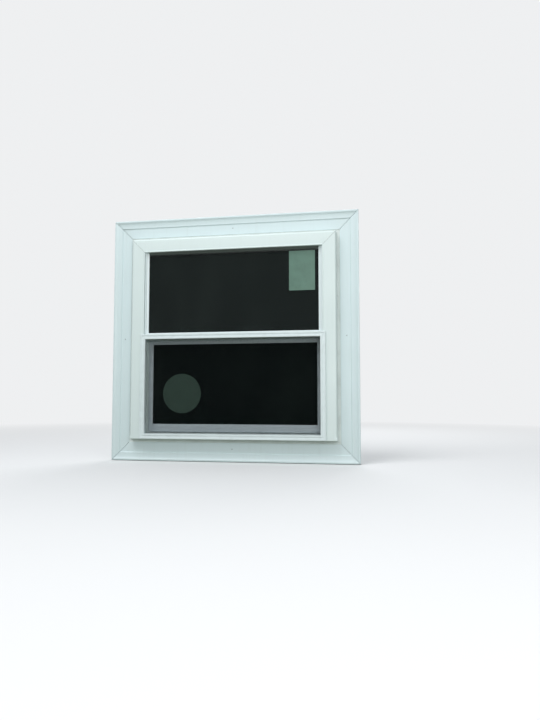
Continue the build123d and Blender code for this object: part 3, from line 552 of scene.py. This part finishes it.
def weave_tree(material):
    """Level and upright threads, laid over each other."""
    tree = Tree("insect_weave", [
        ("Width", "NodeSocketFloat", 0.8), ("Height", "NodeSocketFloat", 0.43),
        ("Across", "NodeSocketInt", 500), ("Up", "NodeSocketInt", 270),
        ("Thread", "NodeSocketFloat", 0.0003), ("Corner", "NodeSocketVector", (0.0, 0.0, 0.0)),
    ])
    radius = tree.math("MULTIPLY", tree.given("Thread"), 0.5)
    profile = tree.node("GeometryNodeCurvePrimitiveCircle", {"Resolution": 4, "Radius": radius})
    sets = []
    for length, count, other, upright in (("Height", "Across", "Width", True),
                                          ("Width", "Up", "Height", False)):
        reach = tree.node("ShaderNodeCombineXYZ")
        tree.group.links.new(tree.given(length), reach.inputs["Z" if upright else "X"])
        thread = tree.node("GeometryNodeCurvePrimitiveLine", {"End": reach.outputs[0]})
        tube = tree.node("GeometryNodeCurveToMesh", {"Curve": thread.outputs[0],
                                                     "Profile Curve": profile.outputs[0],
                                                     "Fill Caps": True})
        spans = tree.math("SUBTRACT", tree.given(count), 1.0)
        pitch = tree.math("DIVIDE", tree.given(other), spans)
        step = tree.node("ShaderNodeCombineXYZ")
        tree.group.links.new(pitch, step.inputs["X" if upright else "Z"])
        lift = tree.node("ShaderNodeCombineXYZ")
        side = tree.math("MULTIPLY", tree.given("Thread"), 0.45 if upright else -0.45)
        tree.group.links.new(side, lift.inputs["Y"])
        start = tree.node("ShaderNodeVectorMath", {0: tree.given("Corner"), 1: lift.outputs[0]},
                          operation="ADD")
        row = tree.node("GeometryNodeMeshLine", {"Count": tree.given(count),
                                                 "Start Location": start.outputs[0],
                                                 "Offset": step.outputs[0]}, mode="OFFSET")
        sets.append(tree.node("GeometryNodeInstanceOnPoints", {"Points": row.outputs[0],
                                                               "Instance": tube.outputs[0]}).outputs[0])
    joined = tree.node("GeometryNodeJoinGeometry")
    for threads in sets:
        tree.group.links.new(threads, joined.inputs[0])
    return tree.finish(joined.outputs[0], material)


def scatter_tree(name, material):
    """The same piece set at every point, turned about its own axis where asked."""
    tree = Tree(name, [("Piece", "NodeSocketObject", None), ("Spread", "NodeSocketFloat", 0.0),
                       ("Size change", "NodeSocketFloat", 0.0), ("Seed", "NodeSocketInt", 3)])
    info = tree.node("GeometryNodeObjectInfo", {"Object": tree.given("Piece"), "As Instance": True})
    low = tree.math("MULTIPLY", tree.given("Spread"), -1.0)
    turn = tree.node("FunctionNodeRandomValue", {"Seed": tree.given("Seed")}, data_type="FLOAT")
    tree.group.links.new(low, turn.inputs[FLOAT_MIN])
    tree.group.links.new(tree.given("Spread"), turn.inputs[FLOAT_MAX])
    axis = tree.node("ShaderNodeCombineXYZ")
    tree.group.links.new(turn.outputs[FLOAT_OUT], axis.inputs["Y"])
    small = tree.math("SUBTRACT", 1.0, tree.given("Size change"))
    size = tree.node("FunctionNodeRandomValue", {"Seed": tree.given("Seed")}, data_type="FLOAT")
    tree.group.links.new(small, size.inputs[FLOAT_MIN])
    size.inputs[FLOAT_MAX].default_value = 1.0
    scale = tree.node("ShaderNodeCombineXYZ", {"X": 1.0, "Z": 1.0})
    tree.group.links.new(size.outputs[FLOAT_OUT], scale.inputs["Y"])
    placed = tree.node("GeometryNodeInstanceOnPoints", {
        "Points": tree.given("Geometry"), "Instance": info.outputs["Geometry"],
        "Rotation": axis.outputs[0], "Scale": scale.outputs[0]})
    return tree.finish(placed.outputs[0], material)


def coil_tree(material):
    """A flat spring wound as a spiral strip about the X axis."""
    tree = Tree("wound_spring", [
        ("Turns", "NodeSocketFloat", 7.0), ("Inner", "NodeSocketFloat", 0.008),
        ("Outer", "NodeSocketFloat", 0.0135), ("Width", "NodeSocketFloat", 0.014),
        ("Strip", "NodeSocketFloat", 0.0004),
    ])
    spiral = tree.node("GeometryNodeCurveSpiral", {
        "Resolution": 28, "Rotations": tree.given("Turns"), "Start Radius": tree.given("Inner"),
        "End Radius": tree.given("Outer"), "Height": 0.0})
    strip = tree.node("GeometryNodeCurvePrimitiveQuadrilateral", {
        "Width": tree.given("Strip"), "Height": tree.given("Width")})
    wound = tree.node("GeometryNodeCurveToMesh", {"Curve": spiral.outputs[0],
                                                  "Profile Curve": strip.outputs[0],
                                                  "Fill Caps": True})
    turned = tree.node("GeometryNodeTransform", {"Geometry": wound.outputs[0],
                                                 "Rotation": (0.0, math.pi / 2, 0.0)})
    placed = tree.node("GeometryNodeInstanceOnPoints", {"Points": tree.given("Geometry"),
                                                        "Instance": turned.outputs[0]})
    return tree.finish(placed.outputs[0], material)


def shells(node):
    """The separate solids of a CAD node as (low corner, high corner), in metres."""
    work = bmesh.new()
    work.from_mesh(nodes[node].data)
    bmesh.ops.remove_doubles(work, verts=work.verts, dist=MERGE)
    left = set(work.verts)
    found = []
    while left:
        queue = [left.pop()]
        members = []
        while queue:
            vert = queue.pop()
            members.append(vert.co.copy())
            for edge in vert.link_edges:
                other = edge.other_vert(vert)
                if other in left:
                    left.discard(other)
                    queue.append(other)
        low = Vector(min(p[i] for p in members) for i in range(3))
        high = Vector(max(p[i] for p in members) for i in range(3))
        found.append((low, high))
    work.free()
    return sorted(found, key=lambda pair: tuple(round(v, 5) for v in pair[0]))


def helper_object(name, mesh):
    """A pattern for a tree to repeat, removed when the tree has run."""
    piece = bpy.data.objects.new(name, mesh)
    bpy.context.scene.collection.objects.link(piece)
    return piece


def screw_mesh(length, shank, head, head_height):
    """A screw along -Z from its seat at zero: domed head with a cross recess, and a ringed shank."""
    work = bmesh.new()
    recess_floor = head * 0.30
    recess_rim = head * 0.34
    rings = [(0.0, head_height * 0.50), (recess_floor, head_height * 0.50),
             (recess_rim, head_height * 0.98), (head * 0.72, head_height * 0.86),
             (head, head_height * 0.40), (head * 0.98, 0.0), (shank, -0.0002)]
    run = (length - 0.002) / SCREW_THREADS
    for index in range(SCREW_THREADS):
        depth = -0.0006 - index * run
        rings.append((shank * 0.80, depth))
        rings.append((shank, depth - run * 0.5))
    rings.append((shank * 0.75, -(length - 0.0015)))
    rings.append((0.0, -length))
    loops = []
    for radius, height in rings:
        if radius == 0.0:
            loops.append([work.verts.new((0.0, 0.0, height))])
            continue
        loop = []
        for step in range(SCREW_SIDES):
            angle = math.tau * step / SCREW_SIDES
            reach = radius
            # The recess has one arm in every quarter of the round
            if radius in (recess_floor, recess_rim):
                reach = radius * (1.0 if step % 5 in (0, 1, 4) else 0.45)
            loop.append(work.verts.new((reach * math.cos(angle), reach * math.sin(angle), height)))
        loops.append(loop)
    for first, second in zip(loops, loops[1:]):
        for step in range(SCREW_SIDES):
            after = (step + 1) % SCREW_SIDES
            if len(first) == 1:
                work.faces.new((first[0], second[step], second[after]))
            elif len(second) == 1:
                work.faces.new((first[step], second[0], first[after]))
            else:
                work.faces.new((first[step], second[step], second[after], first[after]))
    bmesh.ops.recalc_face_normals(work, faces=work.faces)
    mesh = bpy.data.meshes.new("screw")
    work.to_mesh(mesh)
    work.free()
    return mesh


def tuft_mesh(reach):
    """One tuft of pile, tapering to its tip, which stands out against Y."""
    work = bmesh.new()
    tuft = []
    for across, along in ((-1, -1), (1, -1), (1, 1), (-1, 1)):
        tuft.append(work.verts.new((across * TUFT_HALF_WIDTH, 0.0, along * TUFT_HALF_LENGTH)))
    tip = [work.verts.new((v.co.x * 0.7, -reach, v.co.z * 0.6)) for v in tuft]
    work.faces.new(tuft)
    work.faces.new(tip)
    for index in range(4):
        after = (index + 1) % 4
        work.faces.new((tuft[index], tuft[after], tip[after], tip[index]))
    bmesh.ops.recalc_face_normals(work, faces=work.faces)
    mesh = bpy.data.meshes.new("tuft")
    work.to_mesh(mesh)
    work.free()
    return mesh


def add_block(work, low, high):
    """Adds a closed block with outward faces to a bmesh."""
    corners = [work.verts.new((x, y, z)) for z in (low.z, high.z) for y in (low.y, high.y)
               for x in (low.x, high.x)]
    for a, b, c, d in ((0, 2, 3, 1), (4, 5, 7, 6), (0, 1, 5, 4), (2, 6, 7, 3), (0, 4, 6, 2), (1, 3, 7, 5)):
        work.faces.new((corners[a], corners[b], corners[c], corners[d]))


class WINDOW_OT_dress_frame(bpy.types.Operator):
    """Finish the frame, sill, meeting rail and upper beads in white vinyl, with painted light on the sill
    and meeting rail and painted shade on the top bead
    """

    bl_idname = "window.dress_frame"
    bl_label = "Dress the frame"

    def execute(self, context):
        settings = context.scene.window_vinyl
        frame_finish = vinyl_finish("frame_vinyl", settings.frame_colour)
        low, high = cad_bounds("frame_head", "frame_sill")
        frame_vinyl = frame_finish.joint_lines(low, high, settings.joint_width,
                                               both_ends=False).material
        for name in ("frame_head", "frame_jamb_left", "frame_jamb_right"):
            smooth_twin(name, frame_vinyl)
        # Painted light: the sill and meeting rail take the frame's vinyl made 4 % lighter, to paint more
        # light on these low pieces
        painted_light_rail_vinyl = vinyl_finish("painted_light_rail_vinyl", shade(settings.frame_colour, 1.04)).material
        for name in ("frame_sill", "meeting_rail"):
            smooth_twin(name, painted_light_rail_vinyl)
        bead_vinyl = vinyl_finish("bead_vinyl", settings.bead_colour, grime=0.03).material
        dress(bead_vinyl, "upper_bead_left", "upper_bead_right", "upper_bead_bottom")
        # Painted shade: the top bead takes a near-black vinyl that paints the head's shadow on it
        painted_shade_vinyl = vinyl_finish("top_bead_painted_shade_vinyl", settings.painted_shade_colour, grime=0.03).material
        dress(painted_shade_vinyl, "upper_bead_top")
        return {"FINISHED"}


class WINDOW_OT_dress_casing(bpy.types.Operator):
    """Finish the mitred exterior casing, its sealant and its nails"""

    bl_idname = "window.dress_casing"
    bl_label = "Dress the casing"

    def execute(self, context):
        settings = context.scene.window_vinyl
        casing_finish = vinyl_finish("casing_moulding", settings.casing_colour, grime=0.07)
        low, high = cad_bounds("casing_top", "casing_bottom")
        moulding = casing_finish.joint_lines(low, high, settings.joint_width).material
        for side in SIDES:
            smooth_twin("casing_" + side, moulding)
        smooth_twin("perimeter_sealant", sealant_finish())
        smooth_twin("casing_nails", painted_finish("nail_enamel", shade(settings.casing_colour, 0.55)))
        return {"FINISHED"}


class WINDOW_OT_dress_sash(bpy.types.Operator):
    """Finish the sliding sash, its beads and its bulb seal, their vinyl darkened with painted shade"""

    bl_idname = "window.dress_sash"
    bl_label = "Dress the sash"

    def execute(self, context):
        settings = context.scene.window_vinyl
        # Painted shade: the sash and its beads take white vinyl darkened for the shade of their recess
        sash_painted_shade_vinyl = vinyl_finish("sash_painted_shade_vinyl", settings.sash_painted_shade_colour).material
        for name in ("sash_stile_left", "sash_stile_right", "sash_top_rail", "sash_bottom_rail"):
            smooth_twin(name, sash_painted_shade_vinyl)
        bead_vinyl = vinyl_finish("sash_bead_painted_shade_vinyl", settings.sash_painted_shade_colour, grime=0.03).material
        dress(bead_vinyl, "lower_bead_left", "lower_bead_right", "lower_bead_top", "lower_bead_bottom")
        dress(soft_finish("bulb_seal_grey", (0.10, 0.105, 0.10)), "sash_bulb_seal")
        return {"FINISHED"}


class WINDOW_OT_glaze(bpy.types.Operator):
    """Finish the panes, spacers, tapes, setting blocks and plain labels"""

    bl_idname = "window.glaze"
    bl_label = "Glaze both lights"

    def execute(self, context):
        settings = context.scene.window_glass
        dress(glass_finish("outer_pane_glass", settings.outer_painted_shade), "upper_glass_outer")
        screened = glass_finish("screened_pane_glass", settings.outer_painted_shade, gloss=0.03)
        dress(screened, "lower_glass_outer")
        dress(glass_finish("inner_pane_glass", settings.inner_painted_shade), "upper_glass_inner",
              "lower_glass_inner")
        dress(metal_finish("spacer_aluminium", (0.42, 0.43, 0.43), roughness=0.45),
              "upper_spacer", "lower_spacer")
        dress(soft_finish("glazing_tape_foam", (0.35, 0.37, 0.37), roughness=0.9),
              "upper_glazing_tape", "lower_glazing_tape")
        dress(soft_finish("setting_block_rubber", (0.025, 0.025, 0.025), roughness=0.7),
              "upper_setting_blocks", "lower_setting_blocks")
        # Painted shade: the labels' dark green-grey stands in for pale films lit dimly behind the panes
        dress(label_finish("rectangular_label_film_in_painted_shade", settings.label_colour), "upper_label")
        smooth_twin("lower_label", label_finish("round_label_film_in_painted_shade", settings.round_label_colour))
        return {"FINISHED"}


class WINDOW_OT_weave_screen(bpy.types.Operator):
    """Weave the insect mesh and finish the screen's bars"""

    bl_idname = "window.weave_screen"
    bl_label = "Weave the insect screen"

    def execute(self, context):
        settings = context.scene.window_insect_mesh
        low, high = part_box("insect_mesh")
        width = high[0] - low[0] - 2 * MESH_INSET
        height = high[2] - low[2] - 2 * MESH_INSET
        fibre = soft_finish("coated_fibre", settings.thread_colour, roughness=0.6,
                            grain=2500.0, depth=0.00002, gloss=0.0)
        tree = weave_tree(fibre)
        middle = high[1] - MESH_DEPTH
        mesh = tree.bake("insect_threads", point_mesh("weave_seed", [(0, 0, 0)]), {
            "Width": width, "Height": height,
            "Across": int(round(width / settings.pitch_across)),
            "Up": int(round(height / settings.pitch_up)),
            "Thread": settings.thread,
            "Corner": (low[0] + MESH_INSET, middle, low[2] + MESH_INSET)})
        mesh = tidy_mesh(mesh)
        stand_in("insect_threads", mesh, "insect_mesh")
        bars = painted_finish("screen_bar_enamel", settings.bar_colour, roughness=0.38)
        for side in SIDES:
            dress(bars, "screen_bar_" + side)
        dress(soft_finish("spline_vinyl", (0.03, 0.032, 0.032), roughness=0.55), "screen_spline")
        dress(soft_finish("corner_key_plastic", (0.04, 0.04, 0.04), roughness=0.5), "screen_corner_keys")
        dress(metal_finish("leaf_spring_steel", (0.5, 0.5, 0.49), roughness=0.35), "screen_springs")
        return {"FINISHED"}


class WINDOW_OT_fit_seals(bpy.types.Operator):
    """Set the pile seals' tufts along the sash"""

    bl_idname = "window.fit_seals"
    bl_label = "Fit the pile seals"

    def execute(self, context):
        settings = context.scene.window_hardware
        pile = soft_finish("pile_yarn", (0.20, 0.21, 0.21), roughness=0.95, grain=1500.0)
        tree = scatter_tree("pile_tufts", pile)
        seals = shells("sash_pile_seals")
        tips, root = cad_bounds("sash_pile_seals")
        back = root[1] - PILE_BASE
        points = []
        for low, high in seals:
            upright = high[2] - low[2] > high[0] - low[0]
            length = high[2] - low[2] if upright else high[0] - low[0]
            count = int(length / settings.tuft_pitch)
            for index in range(count):
                along = (index + 0.5) / count * (length - 2 * PILE_BASE) + PILE_BASE
                if upright:
                    points.append(((low[0] + high[0]) / 2, back, low[2] + along))
                else:
                    points.append((low[0] + along, back, (low[2] + high[2]) / 2))
        helper = helper_object("tuft_pattern", tuft_mesh(back - tips[1] - PILE_CLEARANCE))
        tufts = tree.bake("seal_tufts", point_mesh("tuft_points", points), {
            "Piece": helper, "Spread": 0.5, "Size change": 0.12, "Seed": 5})
        bpy.data.objects.remove(helper)
        work = bmesh.new()
        work.from_mesh(tufts)
        for low, high in seals:
            add_block(work, Vector((low[0], back, low[2])), Vector(high))
        work.to_mesh(tufts)
        work.free()
        stand_in("pile_seals_tufted", tufts, "sash_pile_seals")
        return {"FINISHED"}


class WINDOW_OT_wind_balances(bpy.types.Operator):
    """Wind the balance coils and finish the housings, shoes, cams and ribbons"""

    bl_idname = "window.wind_balances"
    bl_label = "Wind the balances"

    def execute(self, context):
        settings = context.scene.window_hardware
        steel = metal_finish("spring_steel", settings.steel_colour, roughness=0.32,
                             stretch=(1.0, 6.0, 6.0))
        coils = shells("balance_coils")
        low, high = coils[-1]
        outer = (high[1] - low[1]) / 2
        width = high[0] - low[0]
        tail_low = low[2]
        places = [((low[0] + high[0]) / 2, (low[1] + high[1]) / 2, high[2] - outer)
                  for low, high in coils]
        tree = coil_tree(steel)
        mesh = tree.bake("wound_coils", point_mesh("coil_points", places), {
            "Turns": float(settings.spring_turns), "Inner": COIL_BORE,
            "Outer": outer - SPRING_STRIP / 2, "Width": width, "Strip": SPRING_STRIP})
        work = bmesh.new()
        work.from_mesh(mesh)
        for x, y, z in places:
            add_block(work, Vector((x - width / 2, y - outer, tail_low)),
                      Vector((x + width / 2, y - outer + SPRING_STRIP, z)))
        work.to_mesh(mesh)
        work.free()
        stand_in("wound_coils", mesh, "balance_coils")
        dress(steel, "balance_ribbons")
        acetal = soft_finish("acetal_white", (0.62, 0.62, 0.58), roughness=0.4, grain=700.0,
                             depth=0.00006)
        for name in ("balance_housings", "balance_shoes"):
            smooth_twin(name, acetal)
        smooth_twin("pivot_cams", soft_finish("cam_grey", (0.28, 0.29, 0.30), roughness=0.45))
        smooth_twin("pivot_bars", metal_finish("pivot_bar_steel", settings.steel_colour, roughness=0.38))
        return {"FINISHED"}


class WINDOW_OT_fit_hardware(bpy.types.Operator):
    """Finish the locks and latches and drive the screws"""

    bl_idname = "window.fit_hardware"
    bl_label = "Fit locks, latches and screws"

    def execute(self, context):
        settings = context.scene.window_hardware
        enamel = painted_finish("lock_enamel", settings.lock_colour)
        for name in ("lock_bases", "lock_keepers", "lock_lever_left", "lock_lever_right"):
            smooth_twin(name, enamel)
        moulded = soft_finish("latch_moulding", shade(settings.lock_colour, 0.95), roughness=0.3,
                              grain=900.0, depth=0.00005)
        for name in ("latch_housings", "tilt_latch_left", "tilt_latch_right"):
            smooth_twin(name, moulded)
        steel = metal_finish("screw_steel", settings.steel_colour, roughness=0.35)
        for node in ("frame_screws", "sash_screws"):
            self.drive(node, steel)
        return {"FINISHED"}

    def drive(self, node, steel):
        """Sets a threaded screw with a cross recess at each of the node's plain ones."""
        tree = scatter_tree(node + "_tree", steel)
        kinds = {}
        for low, high in shells(node):
            size = high - low
            seat = Vector(((low[0] + high[0]) / 2, (low[1] + high[1]) / 2, high[2] - SCREW_HEAD_HEIGHT))
            kinds.setdefault((round(size[2], 5), round(size[0] / 2, 5)), []).append(seat)
        joined = bmesh.new()
        for (length, head), seats in kinds.items():
            mesh = screw_mesh(length - SCREW_HEAD_HEIGHT, SCREW_SHANK, head, SCREW_HEAD_HEIGHT)
            helper = helper_object("screw_pattern", mesh)
            part = tree.bake(node + "_set", point_mesh("screw_points", seats),
                             {"Piece": helper, "Spread": 0.0, "Size change": 0.0, "Seed": 1})
            bpy.data.objects.remove(helper)
            joined.from_mesh(part)
        result = bpy.data.meshes.new(node + "_driven")
        joined.to_mesh(result)
        joined.free()
        result.materials.append(steel)
        stand_in(node + "_driven", result, node)


class WINDOW_OT_set_stage(bpy.types.Operator):
    """Lay the floor and set the camera and the soft studio light"""

    bl_idname = "window.set_stage"
    bl_label = "Set the stage"

    def execute(self, context):
        settings = context.scene.window_stage
        scene = context.scene
        scene.view_settings.view_transform = "Standard"
        floor_height = cad_box[0][2] - FLOOR_DROP
        mesh = bpy.data.meshes.new("floor")
        ring = []
        for index in range(FLOOR_SIDES):
            angle = math.tau * index / FLOOR_SIDES
            ring.append((FLOOR_REACH * math.cos(angle), FLOOR_REACH * math.sin(angle), floor_height))
        mesh.from_pydata(ring, [], [tuple(range(FLOOR_SIDES))])
        finish = Finish("floor_paper", settings.floor_colour, 0.9, specular=0.1)
        finish.stain(finish.noise(0.8, detail=3.0), 0.3, 0.7, 0.3, shade(settings.floor_colour, 0.97))
        self.fade_floor(finish)
        mesh.materials.append(finish.material)
        floor = bpy.data.objects.new("floor", mesh)
        scene.collection.objects.link(floor)
        self.light_world(scene, settings)
        for name, place, target, size, share in LAMPS:
            self.add_lamp(scene, name, place, target, size, settings.key_power * share)
        lens = bpy.data.cameras.new("view_camera")
        lens.lens = settings.lens
        lens.sensor_width = 36.0
        lens.sensor_fit = "AUTO"
        lens.clip_start = 0.01
        camera = bpy.data.objects.new("view_camera", lens)
        camera.location = settings.viewpoint
        camera.rotation_euler = (math.pi / 2 + settings.tilt, 0.0, settings.turn)
        scene.collection.objects.link(camera)
        scene.camera = camera
        return {"FINISHED"}

    def fade_floor(self, finish):
        """Lets the far floor run into the background, while it lights the piece like dark ground."""
        tree = finish.tree
        distance = tree.nodes.new("ShaderNodeVectorMath")
        distance.operation = "LENGTH"
        tree.links.new(finish.place.outputs["Object"], distance.inputs[0])
        far = finish.ranged(distance.outputs["Value"], FADE_START, FADE_END)
        paper = tree.nodes.new("ShaderNodeEmission")
        paper.inputs["Color"].default_value = BACKGROUND
        mix = tree.nodes.new("ShaderNodeMixShader")
        tree.links.new(far, mix.inputs[0])
        tree.links.new(finish.shader.outputs[0], mix.inputs[1])
        tree.links.new(paper.outputs[0], mix.inputs[2])
        ground = tree.nodes.new("ShaderNodeBsdfDiffuse")
        ground.inputs["Color"].default_value = GROUND
        path = tree.nodes.new("ShaderNodeLightPath")
        seen = tree.nodes.new("ShaderNodeMixShader")
        tree.links.new(path.outputs["Is Camera Ray"], seen.inputs[0])
        tree.links.new(ground.outputs[0], seen.inputs[1])
        tree.links.new(mix.outputs[0], seen.inputs[2])
        tree.links.new(seen.outputs[0], tree.nodes["Material Output"].inputs["Surface"])

    def light_world(self, scene, settings):
        """An even pale light, with a pale background behind everything."""
        world = bpy.data.worlds.new("studio_world")
        scene.world = world
        world.use_nodes = True
        tree = world.node_tree
        background = tree.nodes["Background"]
        background.inputs["Color"].default_value = SKY
        background.inputs["Strength"].default_value = settings.sky_power
        seen = tree.nodes.new("ShaderNodeBackground")
        seen.inputs["Color"].default_value = BACKGROUND
        seen.inputs["Strength"].default_value = 1.0
        path = tree.nodes.new("ShaderNodeLightPath")
        either = tree.nodes.new("ShaderNodeMath")
        either.operation = "MAXIMUM"
        tree.links.new(path.outputs["Is Camera Ray"], either.inputs[0])
        tree.links.new(path.outputs["Is Transmission Ray"], either.inputs[1])
        mix = tree.nodes.new("ShaderNodeMixShader")
        tree.links.new(either.outputs[0], mix.inputs[0])
        tree.links.new(background.outputs[0], mix.inputs[1])
        tree.links.new(seen.outputs[0], mix.inputs[2])
        tree.links.new(mix.outputs[0], tree.nodes["World Output"].inputs["Surface"])

    def add_lamp(self, scene, name, place, target, size, power):
        """A square lamp that is aimed at a point."""
        data = bpy.data.lights.new(name, "AREA")
        data.shape = "SQUARE"
        data.size = size
        data.energy = power
        lamp = bpy.data.objects.new(name, data)
        lamp.location = place
        lamp.rotation_euler = (Vector(target) - Vector(place)).to_track_quat("-Z", "Y").to_euler()
        scene.collection.objects.link(lamp)


OPERATORS = (
    WINDOW_OT_set_stage,
    WINDOW_OT_dress_frame,
    WINDOW_OT_dress_casing,
    WINDOW_OT_dress_sash,
    WINDOW_OT_glaze,
    WINDOW_OT_weave_screen,
    WINDOW_OT_fit_seals,
    WINDOW_OT_wind_balances,
    WINDOW_OT_fit_hardware,
)


class WINDOW_PT_dresser(bpy.types.Panel):
    """Lists the steps that dress the window"""

    bl_idname = "WINDOW_PT_dresser"
    bl_label = "Sash Window"
    bl_space_type = "VIEW_3D"
    bl_region_type = "UI"
    bl_category = "Sash Window"

    def draw(self, context):
        for operator in OPERATORS:
            self.layout.operator(operator.bl_idname)
        for name, group in GROUPS.items():
            box = self.layout.box()
            box.label(text=group.__doc__)
            for prop in group.__annotations__:
                box.prop(getattr(context.scene, name), prop)


CLASSES = (*GROUPS.values(), *OPERATORS, WINDOW_PT_dresser)


def register():
    """Makes the settings, operators and panel known."""
    for entry in CLASSES:
        bpy.utils.register_class(entry)
    for name, group in GROUPS.items():
        setattr(bpy.types.Scene, name, PointerProperty(type=group))


def unregister():
    """Takes them away again."""
    for name in GROUPS:
        delattr(bpy.types.Scene, name)
    for entry in reversed(CLASSES):
        bpy.utils.unregister_class(entry)


def main():
    register()
    for operator in OPERATORS:
        step = operator.bl_idname.split(".")[1]
        getattr(bpy.ops.window, step)()


if __name__ == "__main__":
    main()
